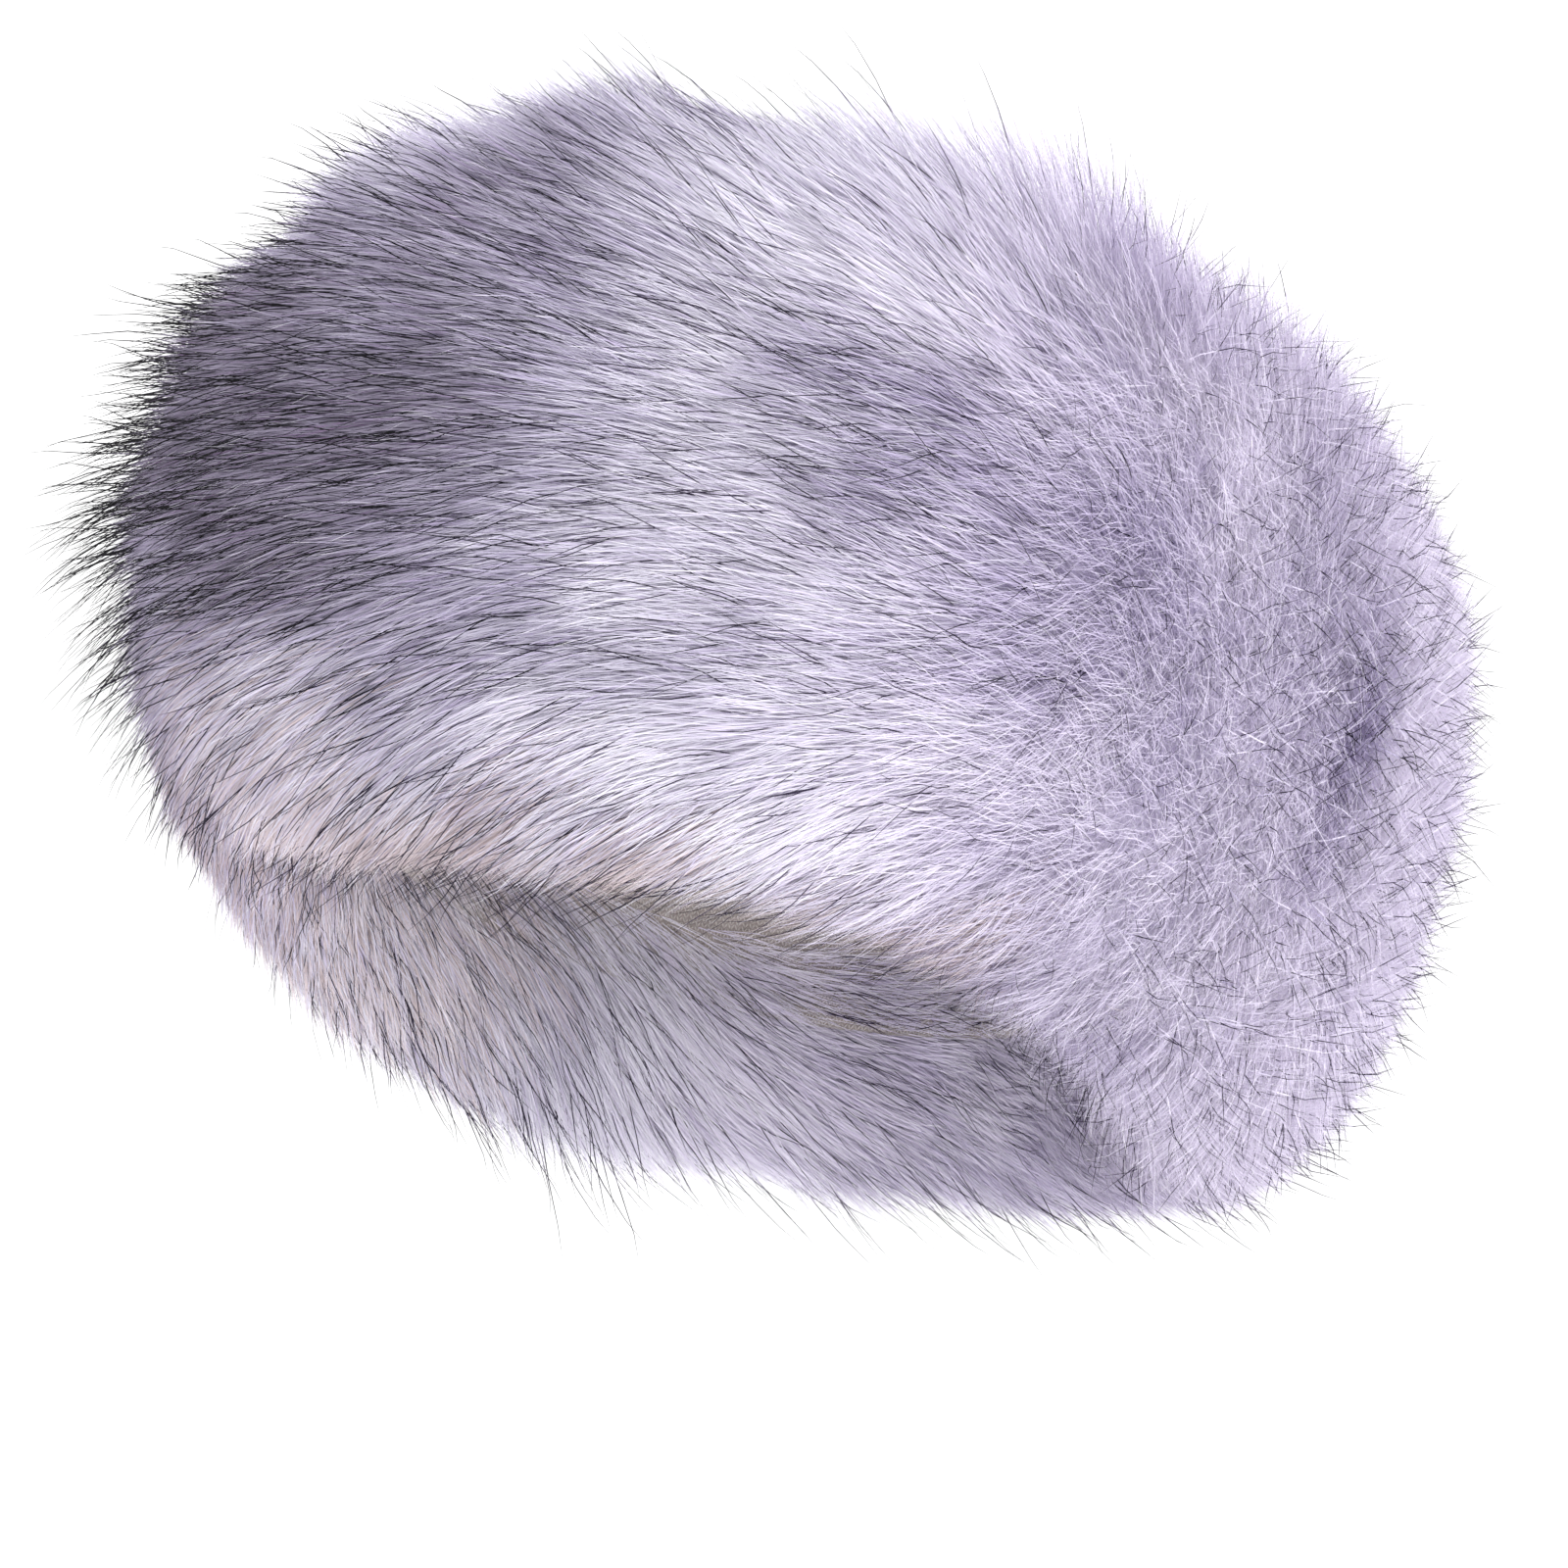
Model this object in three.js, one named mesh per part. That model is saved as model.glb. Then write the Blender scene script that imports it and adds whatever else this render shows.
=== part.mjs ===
// Ear warmer headband: a strip of deep, long-pile imitation fur sewn into a loop that sits over the
// forehead and ears and low on the nape. Millimetres, +Z up as worn, the wearer's face towards -Y.
// The origin is the middle of the head opening, halfway up the strip.
//
// Two pieces: the pile, as one hollow ring of its outer form, and the knitted ground cloth inside it.
import * as THREE from "three";
import { mergeVertices } from "three/addons/utils/BufferGeometryUtils.js";

// The head opening, measured in the plane of the loop.
const HEAD_HALF_WIDTH = 77;
const HEAD_HALF_LENGTH = 96;
const HEAD_SQUARENESS = 2.15; // 2 is an ellipse; a little more fills out the temples

// The strip of ground cloth.
const CLOTH_THICKNESS = 1.6;
const CLOTH_HALF_HEIGHT = 54;
const CLOTH_HUG = 7; // how far the wall draws in towards the head at its upper and lower edges
const CLOTH_EDGE_BEND = 0.5; // below 1, the strip's section keeps straight sides and rounds only its edges
const PILE_GAP = 0.3; // clearance between the cloth and the pile's solid

// How the loop sits on a head: up on the forehead, down on the nape, and a little higher over one ear.
const WORN_TILT_DEG = 22;
const WORN_ROLL_DEG = -1;

// The pile's outer form. Its section is a rounded box, cut flat where it meets the cloth.
const PILE_ROUNDNESS = 2.1;
const PILE_WIDEST_AT = 0.46; // share of the depth at which the section is tallest
const PILE_OUTER_SHARE = 0.68; // share of the steps round the section that are off the cloth

// One row for each section round the head, evenly spaced. turn is in degrees from the forehead towards
// the left ear. depth is how far the pile stands off the cloth, rise and drop how far it reaches above
// and below the strip's middle line, and crest the height at which it stands out furthest, in millimetres.
const PILE_SECTIONS = [
  { turn: 0, depth: 63, rise: 92, drop: 75, crest: 8 },
  { turn: 45, depth: 64, rise: 88, drop: 76, crest: 6 },
  { turn: 90, depth: 67, rise: 78, drop: 84, crest: 10 },
  { turn: 135, depth: 67, rise: 78, drop: 90, crest: 12 },
  { turn: 180, depth: 62, rise: 80, drop: 88, crest: 8 },
  { turn: 225, depth: 60, rise: 80, drop: 86, crest: 10 },
  { turn: 270, depth: 59, rise: 82, drop: 84, crest: 18 },
  { turn: 315, depth: 61, rise: 81, drop: 71, crest: 18 },
];

// Steps round the loop and round each section.
const STEPS_ROUND_HEAD = 72;
const STEPS_ROUND_PILE = 28;
const STEPS_ROUND_CLOTH = 20;

const DEG = Math.PI / 180;

// The distance from the loop's axis to the inside of the cloth, in the direction of a turn.
function headRadius(turn) {
  const across = Math.abs(Math.sin(turn * DEG)) / HEAD_HALF_WIDTH;
  const along = Math.abs(Math.cos(turn * DEG)) / HEAD_HALF_LENGTH;
  return (across ** HEAD_SQUARENESS + along ** HEAD_SQUARENESS) ** (-1 / HEAD_SQUARENESS);
}

// A row of the section table at any turn, by a smooth curve through the rows that closes on itself.
function pileSection(turn) {
  const count = PILE_SECTIONS.length;
  const place = (turn / 360) * count;
  const first = Math.floor(place);
  const share = place - first;
  const row = (step) => PILE_SECTIONS[(first + step + count) % count];
  const between = (column) => {
    const [before, start, end, after] = [-1, 0, 1, 2].map((step) => row(step)[column]);
    const slopeIn = (end - before) / 2;
    const slopeOut = (after - start) / 2;
    const square = share * share;
    const cube = square * share;
    return (
      (2 * cube - 3 * square + 1) * start +
      (cube - 2 * square + share) * slopeIn +
      (3 * square - 2 * cube) * end +
      (cube - square) * slopeOut
    );
  };
  return {
    depth: between("depth"),
    rise: between("rise"),
    drop: between("drop"),
    crest: between("crest"),
  };
}

const roundedPower = (value, power) => Math.sign(value) * Math.abs(value) ** power;

// How far the cloth has drawn in at a height.
function hug(height) {
  const share = Math.min(Math.abs(height) / CLOTH_HALF_HEIGHT, 1);
  return CLOTH_HUG * share * share;
}

// A point on the pile's section: how far out from the loop's axis, and how high. The section runs
// from the foot of the cloth out and over the top of the pile, then straight down the cloth.
function pilePoint(turn, around) {
  const { depth, rise, drop, crest } = pileSection(turn);
  const behind = depth * PILE_WIDEST_AT;
  const ahead = depth - behind;
  const bend = 2 / PILE_ROUNDNESS;
  const heightAt = (sine) => crest + roundedPower(sine, bend) * (sine > 0 ? rise - crest : drop + crest);
  const cut = Math.acos(-((behind / ahead) ** (1 / bend)));
  const onWall = around > PILE_OUTER_SHARE;
  const angle = cut * (2 * (around / PILE_OUTER_SHARE) - 1);
  const down = (around - PILE_OUTER_SHARE) / (1 - PILE_OUTER_SHARE);
  const top = heightAt(Math.sin(cut));
  const foot = heightAt(-Math.sin(cut));
  const up = onWall ? top + (foot - top) * down : heightAt(Math.sin(angle));
  const reach = onWall ? 0 : behind + roundedPower(Math.cos(angle), bend) * ahead;
  const drawnIn = hug(up) * (1 - reach / depth);
  return { out: headRadius(turn) + CLOTH_THICKNESS + PILE_GAP + reach - drawnIn, up };
}

// A point on the cloth's section, a thin upright bar with rounded edges.
function clothPoint(turn, around) {
  const angle = around * 2 * Math.PI;
  const half = CLOTH_THICKNESS / 2;
  const side = roundedPower(Math.cos(angle), CLOTH_EDGE_BEND) * half;
  const height = Math.sin(angle) * CLOTH_HALF_HEIGHT;
  return { out: headRadius(turn) + half + side - hug(height), up: height };
}

// A closed ring round the head whose section comes from a function of the turn and the way round it.
function ringGeometry(sectionPoint, stepsRoundSection) {
  const ring = new THREE.TorusGeometry(1, 0.5, stepsRoundSection, STEPS_ROUND_HEAD);
  const places = ring.getAttribute("position");
  const shares = ring.getAttribute("uv");
  for (let index = 0; index < places.count; index++) {
    const turn = (shares.getX(index) % 1) * 360;
    const { out, up } = sectionPoint(turn, shares.getY(index) % 1);
    places.setXYZ(index, out * Math.sin(turn * DEG), -out * Math.cos(turn * DEG), up);
  }
  ring.deleteAttribute("normal");
  ring.deleteAttribute("uv");
  const closed = mergeVertices(ring, 1e-4);
  closed.computeVertexNormals();
  return closed;
}

function namedMesh(name, geometry, color, roughness) {
  const material = new THREE.MeshStandardMaterial({ color, roughness, metalness: 0 });
  const mesh = new THREE.Mesh(geometry, material);
  mesh.name = name;
  return mesh;
}

const headband = new THREE.Group();
headband.rotation.order = "YXZ";
headband.rotation.x = -WORN_TILT_DEG * DEG;
headband.rotation.y = WORN_ROLL_DEG * DEG;
headband.add(namedMesh("fur_pile", ringGeometry(pilePoint, STEPS_ROUND_PILE), 0xbfb8d2, 0.9));
headband.add(namedMesh("base_cloth", ringGeometry(clothPoint, STEPS_ROUND_CLOTH), 0xcdc3ba, 0.95));

export default headband;
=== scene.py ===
# %% [markdown]
# # A deep-pile ear warmer headband
#
# The object is one wide loop of imitation fur, held up in the air the way it sits on a head:
# raised a little at the forehead and lower at the nape. On the real thing a knitted ground cloth
# carries a pile of soft underfur and longer, dark-tipped guard hair, all brushed the same way round.
#
# This lesson loads the plain solid model first. Everything below is grown on that model's own form.

import math

import bmesh
import bpy
import numpy as np
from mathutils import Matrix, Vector


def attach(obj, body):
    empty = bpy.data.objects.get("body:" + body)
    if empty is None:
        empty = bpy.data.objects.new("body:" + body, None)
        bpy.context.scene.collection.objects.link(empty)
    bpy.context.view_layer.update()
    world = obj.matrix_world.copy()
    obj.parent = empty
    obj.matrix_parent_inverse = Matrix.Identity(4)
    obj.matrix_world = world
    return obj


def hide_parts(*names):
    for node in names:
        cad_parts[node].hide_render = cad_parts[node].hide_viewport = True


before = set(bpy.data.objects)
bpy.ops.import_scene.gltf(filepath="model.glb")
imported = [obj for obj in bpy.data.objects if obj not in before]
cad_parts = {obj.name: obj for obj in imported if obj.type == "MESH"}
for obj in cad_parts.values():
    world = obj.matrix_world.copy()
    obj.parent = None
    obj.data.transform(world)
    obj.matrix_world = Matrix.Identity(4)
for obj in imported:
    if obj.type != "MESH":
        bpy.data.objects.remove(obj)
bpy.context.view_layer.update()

# %% [markdown]
# ## The shape of the loop
#
# The solid model was drawn from a handful of measures, and the same measures are needed here.
# `turn` is an angle round the head: 0 is the forehead, 90 the wearer's left, 180 the nape.
# Each section of the pile has a depth (how far it stands off the cloth), a rise, a drop, and a
# crest, which is how much higher than the middle its thickest place lies.

# %% Measures, in metres
HEAD_HALF_WIDTH = 0.077
HEAD_HALF_LENGTH = 0.096
HEAD_SQUARENESS = 2.15
CLOTH_THICKNESS = 0.0016
CLOTH_HALF_HEIGHT = 0.054
CLOTH_HUG = 0.007
PILE_GAP = 0.0003
WORN_TILT = math.radians(-22)
WORN_ROLL = math.radians(-1)
PILE_BEND = 2 / 2.1  # a section is nearly an ellipse, a little squarer
PILE_WIDEST_AT = 0.46  # share of the depth
PILE_OUTER_SHARE = 0.68  # share of a section's outline that is fur, not cloth
SECTION_STEP = 45
SECTIONS = np.array([  # depth, rise, drop and crest, at every step of turn
    (0.063, 0.092, 0.075, 0.008),
    (0.064, 0.088, 0.076, 0.006),
    (0.067, 0.078, 0.084, 0.010),
    (0.067, 0.078, 0.090, 0.012),
    (0.062, 0.080, 0.088, 0.008),
    (0.060, 0.080, 0.086, 0.010),
    (0.059, 0.082, 0.084, 0.018),
    (0.061, 0.081, 0.071, 0.018),
])


def head_radius(turn):
    """How far the inside of the loop is from its axis."""
    across = np.abs(np.sin(turn)) / HEAD_HALF_WIDTH
    along = np.abs(np.cos(turn)) / HEAD_HALF_LENGTH
    return (across**HEAD_SQUARENESS + along**HEAD_SQUARENESS) ** (-1 / HEAD_SQUARENESS)


def section_at(turn):
    """Depth, rise, drop and crest at any turn, by a smooth curve through the table."""
    place = np.degrees(turn) / SECTION_STEP
    first = np.floor(place).astype(int)
    t = (place - first)[:, None]
    a, b, c, d = (SECTIONS[(first + k) % len(SECTIONS)] for k in (-1, 0, 1, 2))
    leave, arrive = (c - a) / 2, (d - b) / 2
    curve = (2 * t**3 - 3 * t**2 + 1) * b + (t**3 - 2 * t**2 + t) * leave
    return (curve + (3 * t**2 - 2 * t**3) * c + (t**3 - t**2) * arrive).T


def hug(up):
    """How far the loop closes in on the head above and below its middle."""
    return CLOTH_HUG * np.minimum(np.abs(up) / CLOTH_HALF_HEIGHT, 1) ** 2


def signed_power(value, power):
    return np.sign(value) * np.abs(value) ** power


def as_worn(turn, out, up):
    """Points of the part from their turn, distance from the axis and height, with the worn tilt."""
    x, y, z = out * np.sin(turn), -out * np.cos(turn), up
    y, z = (y * math.cos(WORN_TILT) - z * math.sin(WORN_TILT),
            y * math.sin(WORN_TILT) + z * math.cos(WORN_TILT))
    x, z = (x * math.cos(WORN_ROLL) + z * math.sin(WORN_ROLL),
            z * math.cos(WORN_ROLL) - x * math.sin(WORN_ROLL))
    return np.stack([x, y, z], axis=-1)


print("inside of the loop, front to back:", round(2 * HEAD_HALF_LENGTH, 3), "m")


# %% Two helpers for every piece
def placed(name, data):
    """A new object for a mesh, lamp or camera, put in the scene."""
    made = bpy.data.objects.new(name, data)
    bpy.context.collection.objects.link(made)
    return made


def closed_ring(name, points, columns, rows):
    """A closed form from a grid of points that joins up both ways, with its faces turned outwards."""
    ring = np.arange(columns * rows).reshape(columns, rows)
    ahead = np.roll(ring, -1, 0)
    quads = np.stack([ring, ahead, np.roll(ahead, -1, 1), np.roll(ring, -1, 1)], -1)
    mesh = bpy.data.meshes.new(name)
    mesh.from_pydata(points.tolist(), [], quads.reshape(-1, 4).tolist())
    shaper = bmesh.new()
    shaper.from_mesh(mesh)
    bmesh.ops.recalc_face_normals(shaper, faces=shaper.faces)
    print(name, "volume", round(shaper.calc_volume(signed=True) * 1e6, 1), "cm3")
    shaper.to_mesh(mesh)
    shaper.free()
    return placed(name, mesh)


print("helpers:", placed.__name__, "and", closed_ring.__name__)

# %% [markdown]
# ## Camera, floor and light
#
# The camera stands a little above the loop, to the left of its front corner, with a long lens, so
# the shape isn't stretched. The light is soft and comes from everywhere, as in a white studio: a
# bright sky does most of it, and two large lamps give the pile a gentle direction.

# %% Camera
CAMERA_AZIMUTH = math.radians(30)
CAMERA_ELEVATION = math.radians(5)
CAMERA_DISTANCE = 1.3
CAMERA_AIM = Vector((0, 0, -0.020))
CAMERA_LENS = 134.2  # in millimetres
CAMERA_FILM = 36  # its width, in millimetres

camera = placed("camera", bpy.data.cameras.new("camera"))
camera.location = CAMERA_AIM + CAMERA_DISTANCE * Vector((
    math.sin(CAMERA_AZIMUTH) * math.cos(CAMERA_ELEVATION),
    -math.cos(CAMERA_AZIMUTH) * math.cos(CAMERA_ELEVATION),
    math.sin(CAMERA_ELEVATION),
))
camera.rotation_euler = (CAMERA_AIM - camera.location).to_track_quat("-Z", "Y").to_euler()
camera.data.lens = CAMERA_LENS
camera.data.sensor_width = CAMERA_FILM
bpy.context.scene.camera = camera
print("camera at", [round(v, 3) for v in camera.location])

# %% Floor and light
FLOOR_DROP = 0.55
FLOOR_HALF = 15
FLOOR_GREY = 0.92
FLOOR_ROUGHNESS = 0.9
SKY_STRENGTH = 1.35
LAMPS = (  # name, place, watts, size
    ("key", (-0.9, -1.5, 1.6), 11, 0.9),
    ("fill", (1.6, -0.4, 0.8), 14, 1.0),
    ("table_bounce", (0.8, -1.0, -0.48), 5, 0.6),
)

floor_mesh = bpy.data.meshes.new("floor")
corners = [(x * FLOOR_HALF, y * FLOOR_HALF, 0) for x, y in ((-1, -1), (1, -1), (1, 1), (-1, 1))]
floor_mesh.from_pydata(corners, [], [(0, 1, 2, 3)])
floor = placed("floor", floor_mesh)
floor.location.z = -FLOOR_DROP
floor_paint = bpy.data.materials.new("floor_paint")
floor_paint.use_nodes = True
floor_shader = floor_paint.node_tree.nodes["Principled BSDF"]
floor_shader.inputs["Base Color"].default_value = (FLOOR_GREY, FLOOR_GREY, FLOOR_GREY, 1)
floor_shader.inputs["Roughness"].default_value = FLOOR_ROUGHNESS
floor_mesh.materials.append(floor_paint)

world = bpy.data.worlds.new("studio")
bpy.context.scene.world = world
world.use_nodes = True
sky = world.node_tree.nodes["Background"]
sky.inputs["Color"].default_value = (1, 1, 1, 1)
sky.inputs["Strength"].default_value = SKY_STRENGTH
bpy.context.scene.view_settings.view_transform = "Standard"

for name, place, watts, size in LAMPS:
    lamp = placed(name, bpy.data.lights.new(name, "AREA"))
    lamp.data.energy, lamp.data.size = watts, size
    lamp.location = place
    lamp.rotation_euler = (CAMERA_AIM - Vector(place)).to_track_quat("-Z", "Y").to_euler()
print("lamps:", [name for name, *_ in LAMPS])

# %% [markdown]
# ## The undercoat
#
# Real pile is so thick that nobody sees the cloth it grows from. Growing every hair from the cloth
# would need millions of them, so the lowest part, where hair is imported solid, is one closed form.
# It follows the loop about one centimetre under the tips, and every hair that is modelled starts
# on it. Its points also carry what the hair needs to know: which way it is combed, how long and how
# dark it is, and how warm its colour is.

# %% The undercoat's form
ROUND_LOOP = 240
ROUND_SECTION = 72
UNDERCOAT_DEPTH = 0.0105
UNDERCOAT_EDGE = 0.0095


def undercoat_rows():
    """Each point's turn, distance, height and share of the way round its section, and if it is outside."""
    turn = np.repeat(np.arange(ROUND_LOOP) * 2 * math.pi / ROUND_LOOP, ROUND_SECTION)
    around = np.tile(np.arange(ROUND_SECTION) / ROUND_SECTION, ROUND_LOOP)
    depth, rise, drop, crest = section_at(turn)
    depth, rise, drop = depth - UNDERCOAT_DEPTH, rise - UNDERCOAT_EDGE, drop - UNDERCOAT_EDGE
    behind = depth * PILE_WIDEST_AT
    ahead = depth - behind

    def height(sine):
        bent = signed_power(sine, PILE_BEND)
        return crest + bent * np.where(sine > 0, rise - crest, drop + crest)

    cut = np.arccos(-((behind / ahead) ** (1 / PILE_BEND)))
    angle = cut * (2 * around / PILE_OUTER_SHARE - 1)
    down_wall = np.clip((around - PILE_OUTER_SHARE) / (1 - PILE_OUTER_SHARE), 0, 1)
    outside = around < PILE_OUTER_SHARE
    top, bottom = height(np.sin(cut)), height(-np.sin(cut))
    up = np.where(outside, height(np.sin(angle)), top + (bottom - top) * down_wall)
    reach = np.where(outside, behind + signed_power(np.cos(angle), PILE_BEND) * ahead, 0)
    out = head_radius(turn) + CLOTH_THICKNESS + PILE_GAP + reach - hug(up) * (1 - reach / depth)
    return turn, out, up, around, outside


turn, out, up, around, outside = undercoat_rows()
front_turn = (np.degrees(turn) + 180) % 360 - 180  # -180 to 180, 0 at the forehead
height = np.interp(around, [0, PILE_OUTER_SHARE], [-1, 1])  # -1 at the lower edge, 1 at the upper
print("points of the undercoat:", len(turn))

# %% Places on the loop, and where the hair lies flatter
FLATTER = (  # place, turn, height, half turn, half height, how far the undercoat lies in there
    ("over the right temple", -34, 0.42, 36, 0.34, 0.0035),
    ("under the right ear", -78, -0.50, 24, 0.32, 0.0022),
)


def bump(at_turn, at_height, half_turn, half_height, turns=front_turn, heights=height):
    """1 at one place of the loop, falling away smoothly round it."""
    away = (turns - at_turn + 180) % 360 - 180
    return np.exp(-((away / half_turn) ** 2 + ((heights - at_height) / half_height) ** 2))


for _, *place, lies_in in FLATTER:
    out = out - outside * lies_in * bump(*place)
points = as_worn(turn, out, up)
undercoat = closed_ring("undercoat", points, ROUND_LOOP, ROUND_SECTION)
undercoat_mesh = undercoat.data

# %% [markdown]
# ## What each place of the pile is like
#
# The cloth is printed and brushed before it is cut, so dark and pale patches run over it without
# following the seams. A short chart names them: where each one is, how wide it is, and how pale it
# is (0 is the darkest grey violet, 1 nearly white). Two of them also hold painted light: the darker
# lower edge of the brow is painted shade under its rim, and the pale nape under the left ear is
# partly painted light bounced up from below. Between patches the values blend, and slow waves
# keep the borders from looking drawn.

# %% The chart of patches
# turns are in degrees and heights in shares of the section, from -1 to 1
PATCHES = (  # name, turn, height, half turn, half height, paleness
    ("smoke patch over the right temple", -24, -0.07, 26, 0.19, 0.04),
    ("its dark far edge", -50, 0.10, 14, 0.25, 0.00),
    ("smoke, lower edge", -11, -0.20, 11, 0.08, 0.12),
    ("smoke, front lobe", 5, -0.05, 6, 0.09, 0.26),
    ("its streak to the crown", 4, 0.28, 9, 0.11, 0.29),
    ("end of the streak", 15, 0.46, 8, 0.13, 0.42),
    ("lilac above it", -26, 0.48, 20, 0.14, 0.66),
    ("pale band, brow", 17, 0.00, 7, 0.20, 0.86),
    ("pale band, middle", 22, 0.29, 10, 0.15, 0.94),
    ("grey over the pale band", 23, 0.04, 5, 0.05, 0.36),
    ("pale band, crown", 40, 0.58, 18, 0.25, 0.80),
    ("plum streak, front", 30, 0.07, 10, 0.08, 0.44),
    ("lilac above the streak", 49, 0.15, 8, 0.09, 0.70),
    ("plum streak, middle", 51, -0.02, 11, 0.09, 0.53),
    ("plum streak, back", 67, -0.02, 11, 0.12, 0.70),
    ("plum tuft", 85, -0.07, 4, 0.11, 0.16),
    ("plum below it", 80, -0.16, 7, 0.08, 0.88),
    ("side above the ear", 68, 0.32, 22, 0.26, 0.95),
    ("side behind the ear", 104, 0.06, 15, 0.34, 1.00),
    ("pale lower brow", 34, -0.26, 12, 0.12, 0.96),
    ("lilac under the streak", 38, -0.12, 12, 0.08, 0.58),
    ("pale edge of the brow", 24, -0.45, 14, 0.10, 1.00),
    # darker than the pale edge above it: painted shade under the brow's lower rim, on hair whose beige is its
    # own colour
    ("shaded sandy edge of the brow", 4, -0.68, 17, 0.12, 0.64),
    ("pale cheek", 56, -0.33, 15, 0.17, 0.78),
    # these two are paler than the hair's own colour: partly painted light, bounced up from below onto the
    # underside
    ("under the ear", 88, -0.40, 22, 0.20, 0.96),
    ("pale nape, left side", 122, -0.50, 20, 0.30, 1.00),
    ("pale gap under the smoke", 13, -0.15, 6, 0.06, 0.86),
    ("lilac lower brow, middle", 14, -0.34, 12, 0.10, 0.40),
    ("lilac lower brow, right side", -12, -0.42, 18, 0.14, 0.65),
    ("lilac over the right cheek", -60, -0.50, 22, 0.28, 0.38),
    ("pale right ear", -84, 0.05, 16, 0.70, 0.84),
    ("smoke behind the right ear", -116, 0.15, 14, 0.45, 0.10),
    ("pale nape, right side", -146, -0.05, 15, 0.70, 0.86),
    ("plum nape", -178, 0.20, 14, 0.40, 0.32),
    ("pale back, left side", 148, 0.20, 14, 0.50, 0.84),
)
BETWEEN_PATCHES = 0.68  # paleness where no patch reaches
EMPTY_WEIGHT = 0.12  # how much that counts beside a patch
TIP_AHEAD = 7  # a tip lies this many degrees of turn ahead of its root
TIP_BELOW = 0.16  # and this far below it for each unit of hang


def waves(where, size, seed):
    """A slow, seamless wander between about -1 and 1 over the points."""
    chance = np.random.default_rng(seed)
    total = np.zeros(len(where))
    for _ in range(5):
        direction = chance.normal(size=3)
        direction /= np.linalg.norm(direction)
        way = where @ direction * 2 * math.pi
        total += np.sin(way / (size * chance.uniform(0.7, 1.4)) + chance.uniform(0, 7))
    return total / 3


def ramp(value, start, end):
    """0 before start, 1 past end, and a smooth rise between them."""
    share = np.clip((value - start) / (end - start), 0, 1)
    return share * share * (3 - 2 * share)


print("patches on the chart:", len(PATCHES))

# %% How far the hair hangs, and how pale its tips are
# it hangs most along the lower edge, from the brow round to the wearer's right
right_side = ramp(front_turn, -150, -100)
low = ramp(height, 0.05, -0.55)
hangs = 0.22 * ramp(front_turn, 30, -30) * right_side
hangs += (0.30 + 0.55 * ramp(front_turn, 75, 0) * right_side) * low
tip_turn = (np.degrees(turn) - TIP_AHEAD + 5 * waves(points, 0.05, seed=3) + 180) % 360 - 180
tip_height = height - TIP_BELOW * hangs + 0.12 * waves(points, 0.045, seed=4)
weight = np.full(len(points), EMPTY_WEIGHT)
paleness = weight * BETWEEN_PATCHES
for _, *place, value in PATCHES:
    near = bump(*place, tip_turn, tip_height)
    paleness += near * value
    weight += near
paleness = np.clip(paleness / weight + 0.06 * waves(points, 0.018, seed=5), 0, 1)
print("paleness from", round(float(paleness.min()), 2), "to", round(float(paleness.max()), 2))

# %% Warm and plum hair among the grey
sandy_edge = ramp(tip_height, -0.52, -0.80) * ramp(np.abs(tip_turn - 10), 70, 25)
rosy_cheek = 0.50 * ramp(height, -0.10, -0.45) * ramp(tip_turn, 10, -25) * ramp(tip_turn, -130, -90)
warmth = np.maximum(sandy_edge, rosy_cheek)
plum_left = 0.80 * ramp(front_turn, 22, 60) * (1 - 0.375 * ramp(front_turn, 150, 178))
plum = 0.15 + plum_left + 0.5 * ramp(front_turn, -120, -150)
print(f"mean share of plum hair {plum.mean():.2f} and of warm hair {warmth.mean():.2f}")

# %% [markdown]
# ## How the hair lies
#
# The pile was brushed round the head from the wearer's left to their right, and gravity pulls the
# lower hair down. Over the left ear it was fluffed up instead, so it stands in all directions there.
# One table says where hair is longer or shorter than the rest, and where it stands up. Two slow waves
# break the even edge into tufts and notches.

# %% Comb direction and lie
# place, turn, height, half turn, half height, longer, guard hair longer still, stands up, combed up
LIE = (
    ("left rim", 52, 0.75, 15, 0.40, 0.62, -0.30, 0.48, 0),
    ("tuft on the left rim", 86, 0.50, 8, 0.25, 0.55, 0, 0.30, 0),
    ("peak over the brow", 6, 0.60, 8, 0.35, -0.10, -0.36, 0.08, 0),
    ("beside the peak", 24, 0.60, 7, 0.35, -0.20, 0, 0, 0),
    ("crown", -5, 0.50, 28, 0.28, 0, 0, 0.10, 0.55),
    ("upper brow, right side", -24, 0.48, 22, 0.28, -0.22, 0, 0, 0),
    ("right temple", -44, 0.05, 22, 0.30, 0.05, 0, 0.10, 0),
    ("fringe at the right temple", -48, -0.06, 26, 0.30, 0, 0.42, 0, 0),
    ("above the right temple", -58, 0.40, 26, 0.30, -0.28, 0, 0, 0),
    ("right rim", -55, 0.55, 28, 0.28, 0, -0.20, 0, 0),
    ("right cheek", -50, -0.50, 35, 0.35, -0.42, 0, 0, 0),
    ("right lower edge", -58, -0.60, 28, 0.30, 0, -0.25, 0, 0),
    ("right ear", -88, 0.15, 24, 0.50, -0.18, 0, 0, 0),
    ("right corner of the nape", -122, -0.75, 20, 0.35, 0.40, 0, 0, -1.1),
)
RUFFLED = bump(-22, 0.45, 45, 0.40)
MOST_STANDING = 0.45

comb = as_worn(turn - math.pi / 2, np.ones(len(turn)), np.zeros(len(turn)))
comb[:, 2] += 0.18 * waves(points, 0.07, seed=6) + 0.10 * waves(points, 0.03, seed=9) - hangs

plush = ramp(front_turn, 40, 75) * ramp(front_turn, 150, 118)
reach, guard_reach, stands = 1 - 0.10 * plush, -0.30 * plush, 0.10 * plush
for _, *place, longer, guard_longer, stands_up, combed_up in LIE:
    here = bump(*place)
    comb[:, 2] += combed_up * here
    reach += longer * here
    guard_reach += guard_longer * here
    stands += stands_up * here
guard_reach += reach

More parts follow.
